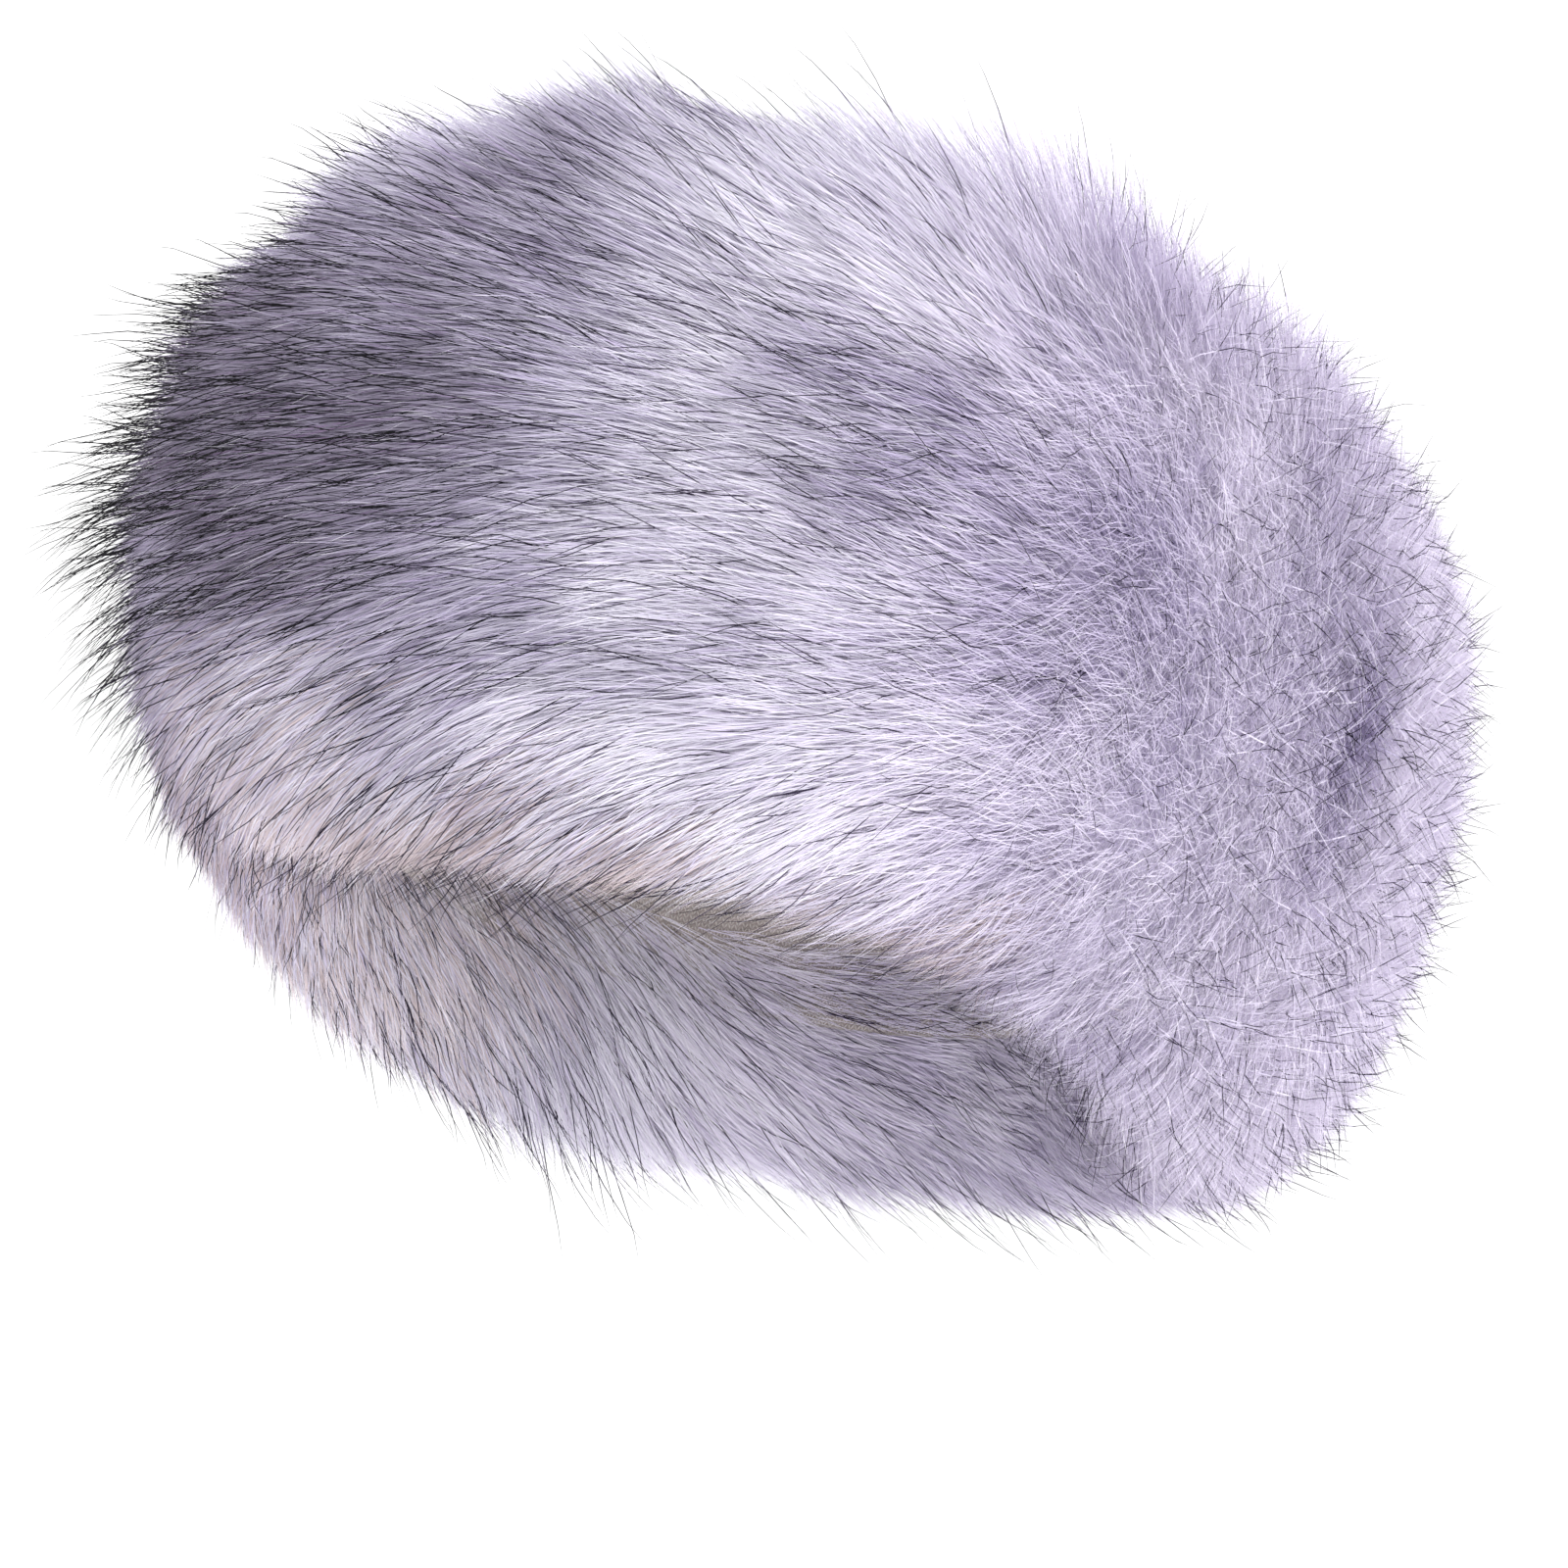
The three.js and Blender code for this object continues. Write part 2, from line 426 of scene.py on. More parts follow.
tufts = waves(points, 0.030, seed=8)
notches = waves(points, 0.015, seed=12)
reach += (0.07 + 0.14 * RUFFLED) * tufts + 0.20 * RUFFLED * notches
guard_reach += (0.07 + 0.10 * RUFFLED) * tufts + 0.12 * RUFFLED * notches
stands += 0.08 * tufts + 0.24 * RUFFLED * (np.maximum(tufts, 0) + np.maximum(notches, 0))
print("hair from", round(float(reach.min()), 2), "to", round(float(reach.max()), 2), "of its usual length")

# %% Where each kind of hair grows, and all of it kept on the undercoat
MORE_DARK_HAIR = (  # place, turn, height, half turn, half height, how much more of it
    ("plum streak", 26, 0.12, 10, 0.08, 0.25),
    ("right lower edge", -66, -0.78, 26, 0.20, 0.35),
    ("lower edge of the brow", 20, -0.74, 34, 0.20, 0.30),
    ("right side", -58, 0.15, 18, 0.70, -0.50),
    ("right cheek", -30, -0.45, 30, 0.20, -0.10),
)

dark_hair = 0.12 + 0.80 * (1 - paleness) ** 1.5
for _, *place, more in MORE_DARK_HAIR:
    dark_hair += more * bump(*place)
FACTS = {
    "reach": reach, "guard_reach": guard_reach, "stands": np.minimum(stands, MOST_STANDING),
    "tangle": 0.12 + 0.88 * plush, "paleness": paleness, "warmth": warmth, "plum": plum,
    "grows": outside.astype(float), "grows_dark": outside * (dark_hair - 0.05 * plush),
    "grows_crossed": outside * plush * (0.38 + 1.2 * (1 - paleness)),
    # where the pale-tipped hair grows; its white tips are partly painted glints of light
    "grows_frost": outside * (0.9 + 1.1 * plush),
}


def keep_on_mesh(name, values, kind="FLOAT", domain="POINT"):
    """Stores one value or vector for each point or face of the undercoat, for node trees to read."""
    layer = undercoat_mesh.attributes.new(name, kind, domain)
    values = np.ascontiguousarray(values, dtype=np.int32 if kind == "INT" else np.float32)
    layer.data.foreach_set("vector" if kind == "FLOAT_VECTOR" else "value", values.ravel())


keep_on_mesh("comb", comb, "FLOAT_VECTOR")
for name, values in FACTS.items():
    keep_on_mesh(name, values)
keep_on_mesh("quarter", (np.degrees(turn) + 45) // 90 % 4, "INT", "FACE")
print("facts kept on the undercoat:", ", ".join(["comb", *FACTS, "quarter"]))

# %% [markdown]
# ## A tree that grows combed hair
#
# One function builds the Geometry Nodes trees for all the hair, so kinds of hair differ only in their
# sizes and in how many parts a blade has. A tree scatters points on the undercoat, gathers them into
# locks by their nearest lock centre, puts one thin tapering blade on every point, and moves the
# blade's points along a curve: upright at the root, lying over along the comb direction at the tip.
# Last it writes a small colour map, with the hair's paleness across and root to tip upwards.

# %% Short calls for any tree of nodes
class Nodes:
    """Short calls that add a node, join its inputs and hand back its first live output."""

    def __init__(self, tree):
        self.tree = tree

    def node(self, kind, inputs=(), **settings):
        made = self.tree.nodes.new(kind)
        for name, value in settings.items():
            setattr(made, name, value)
        for key, value in dict(inputs).items():
            self.join(made.inputs[key], value)
        return made

    def join(self, socket, value):
        if isinstance(value, bpy.types.NodeSocket):
            self.tree.links.new(value, socket)
        else:
            socket.default_value = value

    def math(self, operation, *values):
        return self.node("ShaderNodeMath", enumerate(values), operation=operation).outputs[0]

    def vector(self, operation, *values):
        return self.node("ShaderNodeVectorMath", enumerate(values), operation=operation).outputs[0]

    def scaled(self, value, by):
        return self.node("ShaderNodeVectorMath", {0: value, "Scale": by}, operation="SCALE").outputs[0]

    def dot(self, a, b):
        return self.node("ShaderNodeVectorMath", {0: a, 1: b}, operation="DOT_PRODUCT").outputs["Value"]

    def swung(self, start, towards, angle):
        """One direction turned by an angle towards another that is square to it."""
        kept = self.scaled(start, self.math("COSINE", angle))
        return self.vector("ADD", kept, self.scaled(towards, self.math("SINE", angle)))

    def total(self, *values):
        result = values[0]
        for value in values[1:]:
            result = self.vector("ADD", result, value)
        return result

    def apart(self, value):
        """The three numbers of a vector."""
        return self.node("ShaderNodeSeparateXYZ", {0: value}).outputs

    def together(self, x=0.0, y=0.0, z=0.0):
        """A vector from three numbers."""
        return self.node("ShaderNodeCombineXYZ", {"X": x, "Y": y, "Z": z}).outputs[0]


print("short calls for any tree:", Nodes.__name__)


# %% Short calls for trees that make geometry
def tree_with(name, inputs):
    """A new geometry tree with a geometry input, the named inputs, and one geometry output."""
    tree = bpy.data.node_groups.new(name, "GeometryNodeTree")
    tree.interface.new_socket("Geometry", in_out="INPUT", socket_type="NodeSocketGeometry")
    for label, kind, default in inputs:
        made = tree.interface.new_socket(label, in_out="INPUT", socket_type=kind)
        if default is not None:
            made.default_value = default
    tree.interface.new_socket("Geometry", in_out="OUTPUT", socket_type="NodeSocketGeometry")
    return tree


class Bench(Nodes):
    """The short calls, and more of them for a geometry tree."""

    def __init__(self, tree):
        super().__init__(tree)
        self.given = self.node("NodeGroupInput").outputs

    def position(self):
        return self.node("GeometryNodeInputPosition").outputs[0]

    def read(self, name, kind="FLOAT"):
        made = self.node("GeometryNodeInputNamedAttribute", {"Name": name}, data_type=kind)
        return made.outputs["Attribute"]

    def keep(self, geometry, name, value, kind="FLOAT", domain="POINT"):
        inputs = {"Geometry": geometry, "Name": name, "Value": value}
        made = self.node("GeometryNodeStoreNamedAttribute", inputs, data_type=kind, domain=domain)
        return made.outputs["Geometry"]

    def moved(self, geometry, place):
        return self.node("GeometryNodeSetPosition", {"Geometry": geometry, "Position": place}).outputs[0]

    def repeated(self, points, shape, turned=(0, 0, 0)):
        """The shape made real on every point."""
        inputs = {"Points": points, "Instance": shape, "Rotation": turned}
        many = self.node("GeometryNodeInstanceOnPoints", inputs).outputs[0]
        return self.node("GeometryNodeRealizeInstances", {"Geometry": many}).outputs[0]

    def compared(self, operation, a, b):
        """Whether two whole numbers compare so."""
        return self.node("FunctionNodeCompare", {2: a, 3: b}, data_type="INT", operation=operation).outputs[0]

    def chance(self, low, high, seed, shift):
        """A random number for each point."""
        inputs = {2: low, 3: high, "Seed": self.math("ADD", seed, shift)}
        return self.node("FunctionNodeRandomValue", inputs, data_type="FLOAT").outputs[1]

    def wander(self, size, shift):
        """A slow, smooth vector between -1 and 1 that changes over about the given size."""
        place = self.vector("ADD", self.position(), (shift, -shift, 2 * shift))
        inputs = {"Vector": place, "Scale": self.math("DIVIDE", 1, size), "Detail": 1.0}
        made = self.node("ShaderNodeTexNoise", inputs, noise_dimensions="3D")
        return self.scaled(self.vector("SUBTRACT", made.outputs["Color"], (0.5, 0.5, 0.5)), 3.0)

    def finished(self, geometry):
        """Gives the geometry its material, hands it to the tree's output and returns the tree."""
        inputs = {"Geometry": geometry, "Material": self.given["Material"]}
        painted = self.node("GeometryNodeSetMaterial", inputs).outputs[0]
        self.join(self.node("NodeGroupOutput").inputs[0], painted)
        return self.tree


print("short calls for geometry:", Bench.__name__, "and", tree_with.__name__)

# %% What a hair tree is told
HAIR_INPUTS = (
    ("Hairs per square metre", "NodeSocketFloat", 1000),
    ("Locks per square metre", "NodeSocketFloat", 9000),
    ("Quarter", "NodeSocketInt", 0),
    ("Grows by", "NodeSocketString", "grows"),
    ("Seed", "NodeSocketInt", 1),
    ("Length", "NodeSocketFloat", 0.045),
    ("Reach by", "NodeSocketString", "reach"),
    ("Shortest share", "NodeSocketFloat", 0.7),
    ("Width", "NodeSocketFloat", 0.0004),
    ("Taper", "NodeSocketFloat", 0.6),
    ("Lean at root", "NodeSocketFloat", 0.7),
    ("Lean at tip", "NodeSocketFloat", 1.1),
    ("Lean spread", "NodeSocketFloat", 0.15),
    ("Sideways spread", "NodeSocketFloat", 0.15),
    ("Gathering", "NodeSocketFloat", 0.5),
    ("Waviness", "NodeSocketFloat", 0.0006),
    ("Droop", "NodeSocketFloat", 0.1),
    ("Paleness spread", "NodeSocketFloat", 0.1),
    ("Material", "NodeSocketMaterial", None),
)
MAP_HALF_WIDTH = 0.0015
MAP_BAND = 0.32  # each colour family has a band of the map this high
MAP_START = 0.02  # where a root lies in its band
MAP_HAIR = 0.28  # how far up from there its tip lies
LOCK_SEED = 77
LOCK_TONE = 0.06  # how much paler or darker one lock is than the next
SWIRL, SWIRL_IF_TANGLED = 0.12, 0.55  # each second number is added where the pile is tangled
FAN, FAN_IF_TANGLED = 0.5, 4.6
GATHERED, GATHERED_IF_TANGLED = 1.07, -0.6
ROLL_MOST = 1.5  # radians
HAIR_FACTS = ("root", "root_way", "tip_way", "tip", "across", "out_way", "pull",
              "shade", "roll", "phase", "family", "along", "side")
print("a hair tree has", len(HAIR_INPUTS), "inputs")


# %% How the hair at a root lies, and one blade
def grow_points(b, label, density, seed, where, chosen=None):
    """Scatters points on the undercoat and works out how the hair there would lie."""
    given = b.given
    inputs = {"Mesh": given["Geometry"], "Density": b.math("MULTIPLY", density, where), "Seed": seed}
    scatter = b.node("GeometryNodeDistributePointsOnFaces", inputs, distribute_method="RANDOM")
    if chosen is not None:
        b.join(scatter.inputs["Selection"], chosen)
    points, normal = scatter.outputs["Points"], scatter.outputs["Normal"]
    swirl = b.math("MULTIPLY_ADD", b.read("tangle"), SWIRL_IF_TANGLED, SWIRL)
    combed = b.vector("ADD", b.read("comb", "FLOAT_VECTOR"), b.scaled(b.wander(0.02, 3.0), swirl))
    flat = b.vector("SUBTRACT", combed, b.scaled(normal, b.dot(combed, normal)))
    forward = b.vector("NORMALIZE", flat)
    across = b.vector("CROSS_PRODUCT", normal, forward)
    lean_more = b.math("MULTIPLY", b.chance(-1, 1, seed, 11), given["Lean spread"])
    lean_more = b.math("SUBTRACT", lean_more, b.read("stands"))
    aside = b.math("MULTIPLY", b.chance(-1, 1, seed, 12), given["Sideways spread"])
    fan = b.math("MULTIPLY_ADD", b.read("tangle"), FAN_IF_TANGLED, FAN)
    aside = b.math("MULTIPLY", aside, fan)
    ahead = b.swung(forward, across, aside)

    def leaning(angle):
        return b.swung(normal, ahead, b.math("ADD", angle, lean_more))

    length = b.math("MULTIPLY", given["Length"], b.chance(given["Shortest share"], 1, seed, 13))
    length = b.math("MULTIPLY", length, b.read(given["Reach by"]))
    root_way = b.scaled(leaning(given["Lean at root"]), length)
    fall = b.together(z=b.math("MULTIPLY", given["Droop"], -1))
    tip_way = b.scaled(b.vector("ADD", leaning(given["Lean at tip"]), fall), length)
    place = b.position()
    tip = b.total(place, b.scaled(root_way, 0.5), b.scaled(tip_way, 0.5))
    facts = {"root": place, "root_way": root_way, "tip_way": tip_way, "tip": tip, "across": across,
             "out_way": normal}
    for name, value in facts.items():
        points = b.keep(points, label + name, value, "FLOAT_VECTOR")
    return points


def blade(b, parts):
    """One flat blade of unit length, narrowing to a point, that knows its own side and way along."""
    sizes = {"Size X": 1, "Size Y": 1, "Vertices X": 2, "Vertices Y": parts + 1}
    grid = b.node("GeometryNodeMeshGrid", sizes).outputs["Mesh"]
    x, y, _ = b.apart(b.position())
    kept = b.keep(grid, "along", b.math("ADD", y, 0.5))
    kept = b.keep(kept, "side", x)
    slim = b.together(b.math("MULTIPLY", x, b.math("SUBTRACT", 0.5, y)), y)
    shaped = {"Geometry": b.moved(kept, slim), "Distance": 0.001}
    return b.node("GeometryNodeMergeByDistance", shaped).outputs[0]


print("helpers:", grow_points.__name__, "and", blade.__name__)


# %% The hairs' roots, gathered into locks
def hair_points(b):
    """The hairs' roots in one quarter, or everywhere, each with all that its blade needs to know."""
    given, seed = b.given, b.given["Seed"]
    here = b.compared("EQUAL", b.read("quarter", "INT"), given["Quarter"])
    everywhere = b.compared("LESS_THAN", given["Quarter"], 0)
    here = b.node("FunctionNodeBooleanMath", {0: here, 1: everywhere}, operation="OR").outputs[0]
    where = b.read(given["Grows by"])
    points = grow_points(b, "", given["Hairs per square metre"], seed, where, here)
    locks = grow_points(b, "lock_", given["Locks per square metre"], LOCK_SEED, b.read("grows"))
    locks = b.keep(locks, "lock_shade", b.chance(-1, 1, 5, 1))
    nearest = b.node("GeometryNodeSampleNearest", {"Geometry": locks}, domain="POINT").outputs["Index"]

    def from_lock(name, kind):
        inputs = {"Geometry": locks, "Value": b.read(name, kind), "Index": nearest}
        return b.node("GeometryNodeSampleIndex", inputs, data_type=kind, domain="POINT").outputs[0]

    pull = b.vector("SUBTRACT", from_lock("lock_tip", "FLOAT_VECTOR"), b.read("tip", "FLOAT_VECTOR"))
    amount = b.math("MULTIPLY", given["Gathering"], b.chance(0.3, 1, seed, 21))
    gathered = b.math("MULTIPLY_ADD", b.read("tangle"), GATHERED_IF_TANGLED, GATHERED)
    amount = b.math("MULTIPLY", amount, gathered)
    points = b.keep(points, "pull", b.scaled(pull, amount), "FLOAT_VECTOR")
    spread = b.math("MULTIPLY", given["Paleness spread"], b.chance(-1, 1, seed, 22))
    shade = b.math("ADD", b.read("paleness"), spread)
    shade = b.math("ADD", shade, b.math("MULTIPLY", from_lock("lock_shade", "FLOAT"), LOCK_TONE))
    clamped = b.node("ShaderNodeClamp", {"Value": shade, "Min": 0.01, "Max": 0.99}).outputs[0]
    points = b.keep(points, "shade", clamped)
    rolled = b.math("POWER", b.chance(-1, 1, seed, 23), 3.0)
    points = b.keep(points, "roll", b.math("MULTIPLY", rolled, ROLL_MOST))
    points = b.keep(points, "phase", b.chance(0, 6.3, seed, 24))
    is_warm = b.math("LESS_THAN", b.chance(0, 1, seed, 25), b.read("warmth"))
    is_plum = b.math("LESS_THAN", b.chance(0, 1, seed, 26), b.read("plum"))
    return b.keep(points, "family", b.math("MAXIMUM", is_plum, b.math("MULTIPLY", is_warm, 2.0)))


print("helper:", hair_points.__name__)


# %% The hair trees
def hair_tree(name, parts):
    """A tree that puts a blade of so many parts on every root and bends it as the hair there lies."""
    b = Bench(tree_with(name, HAIR_INPUTS))
    given = b.given
    real = b.repeated(hair_points(b), blade(b, parts))
    along, side = b.read("along"), b.read("side")
    half_square = b.math("MULTIPLY", b.math("MULTIPLY", along, along), 0.5)
    curve = b.total(
        b.read("root", "FLOAT_VECTOR"),
        b.scaled(b.read("root_way", "FLOAT_VECTOR"), b.math("SUBTRACT", along, half_square)),
        b.scaled(b.read("tip_way", "FLOAT_VECTOR"), half_square),
        b.scaled(b.read("pull", "FLOAT_VECTOR"), b.math("POWER", along, 1.6)),
    )
    across, outward = b.read("across", "FLOAT_VECTOR"), b.read("out_way", "FLOAT_VECTOR")
    swing = b.math("SINE", b.math("ADD", b.math("MULTIPLY", along, 7.0), b.read("phase")))
    swing = b.math("MULTIPLY", b.math("MULTIPLY", swing, along), given["Waviness"])
    flat = b.swung(across, outward, b.read("roll"))
    taper = b.math("POWER", b.math("SUBTRACT", 1.0, along), given["Taper"])
    wide = b.math("MULTIPLY", b.math("MULTIPLY", side, given["Width"]), taper)
    place = b.total(curve, b.scaled(across, swing), b.scaled(flat, wide))
    hair = b.moved(real, place)

    map_across = b.math("ADD", b.read("shade"), b.math("MULTIPLY", side, 2 * MAP_HALF_WIDTH))
    map_up = b.math("MULTIPLY_ADD", along, MAP_HAIR, b.math("MULTIPLY", b.read("family"), MAP_BAND))
    on_map = b.together(map_across, b.math("ADD", map_up, MAP_START))
    hair = b.keep(hair, "OFBake", on_map, "FLOAT2", "CORNER")
    for name in (*HAIR_FACTS, "comb", *FACTS):
        hair = b.node("GeometryNodeRemoveAttribute", {"Geometry": hair, "Name": name}).outputs[0]
    return b.finished(hair)


SHORT_HAIR_TREE = hair_tree("combed_underfur", 2)
MIDDLE_HAIR_TREE = hair_tree("combed_frosted_hair", 3)
LONG_HAIR_TREE = hair_tree("combed_guard_hair", 5)
print("each hair tree has", len(LONG_HAIR_TREE.nodes), "nodes")


# %% Growing one piece
def grown(name, ground, tree, sizes):
    """Runs a tree on a copy of the ground and hands back the result as a plain mesh object."""
    worker = placed(name + "_worker", ground.data)
    modifier = worker.modifiers.new("grow", "NODES")
    modifier.node_group = tree
    for item in tree.interface.items_tree:
        if item.in_out == "INPUT" and item.name in sizes:
            modifier[item.identifier] = sizes[item.name]
    evaluated = worker.evaluated_get(bpy.context.evaluated_depsgraph_get())
    mesh = bpy.data.meshes.new_from_object(evaluated)
    mesh.name = name
    worker.modifiers.remove(modifier)
    bpy.data.objects.remove(worker)
    mesh.calc_loop_triangles()
    print(name, "triangles:", len(mesh.loop_triangles), "maps:", [m.name for m in mesh.uv_layers])
    return placed(name, mesh)


print("helper:", grown.__name__)

# %% [markdown]
# ## Finishes for the hair
#
# Every hair reads its colour from its own small map: paleness across, root to tip upwards, in three
# bands, one above the other, for the three colour families: grey lilac, plum, and the sandy hair of
# the lower edge. Roots are a shade paler than tips, because light sinks into real fibre and glows
# back from below, which solid blades don't do by themselves.

# %% Short calls for finishes
class Paint(Nodes):
    """A new finish, with the short calls and more of them for its nodes."""

    def __init__(self, name, roughness, gloss):
        self.finish = bpy.data.materials.new(name)
        self.finish.use_nodes = True
        super().__init__(self.finish.node_tree)
        self.shader = self.tree.nodes["Principled BSDF"].inputs
        self.join(self.shader["Roughness"], roughness)
        self.join(self.shader["Specular IOR Level"], gloss)

    def colour(self, value):
        self.join(self.shader["Base Color"], value)

    def relief(self, height, depth, strength=1.0):
        bump = {"Strength": strength, "Distance": depth, "Height": height}
        self.join(self.shader["Normal"], self.node("ShaderNodeBump", bump).outputs[0])

    def attribute(self, name):
        return self.node("ShaderNodeAttribute", attribute_name=name).outputs["Fac"]

    def mapped(self, across, along):
        """The piece's own map, measured in steps of the given lengths."""
        where = self.node("ShaderNodeUVMap", uv_map="OFBake").outputs[0]
        return self.node("ShaderNodeMapping", {"Vector": where, "Scale": (across, along, 1)}).outputs[0]

    def noise(self, where, scale, detail):
        inputs = {"Vector": where, "Scale": scale, "Detail": detail}
        return self.node("ShaderNodeTexNoise", inputs).outputs["Fac"]

    def mix(self, factor, a, b):
        return self.node("ShaderNodeMix", {0: factor, 6: a, 7: b}, data_type="RGBA").outputs[2]

    def ramp(self, value, stops):
        made = self.node("ShaderNodeValToRGB", {0: value})
        while len(made.color_ramp.elements) < len(stops):
            made.color_ramp.elements.new(0.5)
        for element, (place, colour) in zip(made.color_ramp.elements, stops):
            element.position, element.color = place, (*colour, 1)
        return made.outputs[0]


def linear(*display):
    """A colour given as it looks on a display, 0 to 255, as the linear values a shader needs."""
    return tuple(((v / 255 + 0.055) / 1.055) ** 2.4 if v > 10 else v / 255 / 12.92 for v in display)


print("short calls for finishes:", Paint.__name__, "and", linear.__name__)


# %% A finish for hair
def hair_finish(name, roots, tips, turns_at, roughness, gloss):
    """roots and tips hold a ramp by paleness for each family; turns_at is where one becomes the other."""
    hair = Paint(name, roughness, gloss)
    shade, upwards, _ = hair.apart(hair.mapped(1, 1 / MAP_BAND))
    family = hair.math("FLOOR", upwards)
    up_band = hair.math("SUBTRACT", upwards, family)
    along = hair.math("DIVIDE", hair.math("SUBTRACT", up_band, MAP_START / MAP_BAND), MAP_HAIR / MAP_BAND)
    spread = {"Value": along, "From Min": turns_at[0], "From Max": turns_at[1]}
    to_tip = hair.node("ShaderNodeMapRange", spread, interpolation_type="SMOOTHSTEP").outputs[0]
    grey, plum_hair, sandy = (hair.mix(to_tip, hair.ramp(shade, root), hair.ramp(shade, tip))
                              for root, tip in zip(roots, tips))
    cool = hair.mix(hair.math("MINIMUM", family, 1.0), grey, plum_hair)
    hair.colour(hair.mix(hair.math("SUBTRACT", family, 1.0), cool, sandy))
    return hair.finish


def by_paleness(dark, middle, pale):
    """Ramp stops from three colours given as they look on a display."""
    return (0.0, linear(*dark)), (0.45, linear(*middle)), (1.0, linear(*pale))


print("helpers:", hair_finish.__name__, "and", by_paleness.__name__)

# %% Hair finishes
GREY_ROOT = by_paleness((138, 129, 151), (187, 181, 201), (247, 245, 252))
GREY_TIP = by_paleness((131, 122, 143), (177, 171, 191), (241, 239, 248))
PLUM_ROOT = by_paleness((128, 102, 140), (194, 183, 215), (247, 242, 253))
PLUM_TIP = by_paleness((122, 95, 132), (184, 172, 204), (241, 235, 249))
SANDY_ROOT = by_paleness((130, 116, 120), (184, 167, 168), (228, 215, 212))
SANDY_TIP = by_paleness((122, 108, 113), (182, 164, 170), (232, 221, 225))
UNDERFUR_ROOTS = (GREY_ROOT, PLUM_ROOT, SANDY_ROOT)
UNDERFUR_TIPS = (GREY_TIP, PLUM_TIP, SANDY_TIP)
INK_ROOTS = (by_paleness((100, 94, 110), (170, 160, 188), (226, 218, 236)),) * 3
INK_TIPS = (by_paleness((6, 5, 8), (14, 11, 20), (48, 40, 60)),) * 3
FROST_ROOTS = (by_paleness((112, 106, 124), (180, 172, 200), (240, 235, 248)),) * 3
# the pale tips are partly the hair's own frosting and partly painted highlight, the glints of light on shiny
# hair, so they stay white even where the pile is darkest
FROST_AND_GLINT_TIPS = (by_paleness((212, 209, 222), (244, 241, 250), (253, 252, 255)),) * 3

underfur_finish = hair_finish("lilac_underfur", UNDERFUR_ROOTS, UNDERFUR_TIPS, (0.1, 0.8), 0.75, 0.2)
ink_finish = hair_finish("ink_tipped_guard_hair", INK_ROOTS, INK_TIPS, (0.34, 0.48), 0.60, 0.12)
crossed_finish = hair_finish("short_ink_tipped_hair", FROST_ROOTS, INK_TIPS, (0.46, 0.54), 0.60, 0.12)
frost_and_glint_finish = hair_finish("frosted_guard_hair", FROST_ROOTS, FROST_AND_GLINT_TIPS, (0.72, 0.86), 0.35, 0.5)
print("hair finishes:", underfur_finish.name, ink_finish.name, crossed_finish.name, frost_and_glint_finish.name)

# %% [markdown]
# ## Growing the pile
#
# The underfur is short, soft and dense, and it makes the form and most of the colour. It is grown in
# four quarters, so that no piece is too heavy. Guard hair is longer and stands in three kinds: dark
# tips where the pile is dark, short dark tips lying across each other where it was fluffed up, and
# pale tips everywhere, whose white is partly painted highlight: the glints of light on shiny hair.
# Lengths and widths are in metres and angles in radians.

# %% Grow the pile
UNDERFUR = {
    "Hairs per square metre": 1050000.0, "Locks per square metre": 20000.0, "Length": 0.029,
    "Shortest share": 0.60, "Width": 0.00028, "Taper": 0.5, "Lean at root": 0.98, "Lean at tip": 1.34,
    "Lean spread": 0.18, "Sideways spread": 0.24, "Gathering": 0.30, "Waviness": 0.0003, "Droop": 0.05,
    "Paleness spread": 0.05, "Material": underfur_finish,
}
GUARD = {
    "Quarter": -1, "Hairs per square metre": 210000.0, "Locks per square metre": 16000.0, "Length": 0.042,
    "Reach by": "guard_reach", "Shortest share": 0.50, "Width": 0.00042, "Taper": 0.60,
    "Lean at root": 0.86, "Lean at tip": 1.30, "Lean spread": 0.22, "Sideways spread": 0.36,
    "Gathering": 0.2, "Waviness": 0.0010, "Droop": 0.05, "Paleness spread": 0.15,
    "Grows by": "grows_dark", "Seed": 31, "Material": ink_finish,
}
CROSSED = {
    **GUARD, "Hairs per square metre": 190000.0, "Length": 0.029, "Reach by": "reach", "Width": 0.00040,
    "Lean at root": 0.66, "Lean at tip": 1.22, "Lean spread": 0.36, "Sideways spread": 0.5,
    "Paleness spread": 0.3, "Grows by": "grows_crossed", "Seed": 51, "Material": crossed_finish,
}
# pale-tipped guard hair whose white tips are partly painted glints of light on shiny hair
FROST_AND_GLINT_HAIR = {
    **GUARD, "Hairs per square metre": 72000.0, "Length": 0.032, "Reach by": "reach", "Width": 0.00026,
    "Grows by": "grows_frost", "Seed": 41, "Material": frost_and_glint_finish,
}
pile = []
for number, side in enumerate(("front", "left", "back", "right")):
    sizes = {**UNDERFUR, "Quarter": number, "Seed": 10 + number}
    pile.append(grown("underfur_" + side, undercoat, SHORT_HAIR_TREE, sizes))
pile.append(grown("guard_hair_ink", undercoat, LONG_HAIR_TREE, GUARD))
pile.append(grown("guard_hair_crossed", undercoat, MIDDLE_HAIR_TREE, CROSSED))
pile.append(grown("guard_hair_frost_and_glints", undercoat, MIDDLE_HAIR_TREE, FROST_AND_GLINT_HAIR))

# %% [markdown]
# ## The undercoat's finish
#
# Where the hair parts, the imported underfur below it shows as soft streaks of the same colours,
# darker where the streaks' relief is low, which is painted shade in their grooves. It gets a map that runs
# round the loop one way and round the section the other, so that the streaks can follow the brushing.
# The map's cut is put at the nape, on the side that nobody looks at.

# %% Undercoat map and finish
LOOP_LENGTH = 0.90  # round the outside of the pile, in metres
SECTION_LENGTH = 0.30  # round one section of it
STREAK_LENGTH = 0.014
STREAK_WIDTH = 0.0007
STREAK_DEPTH = 0.0006


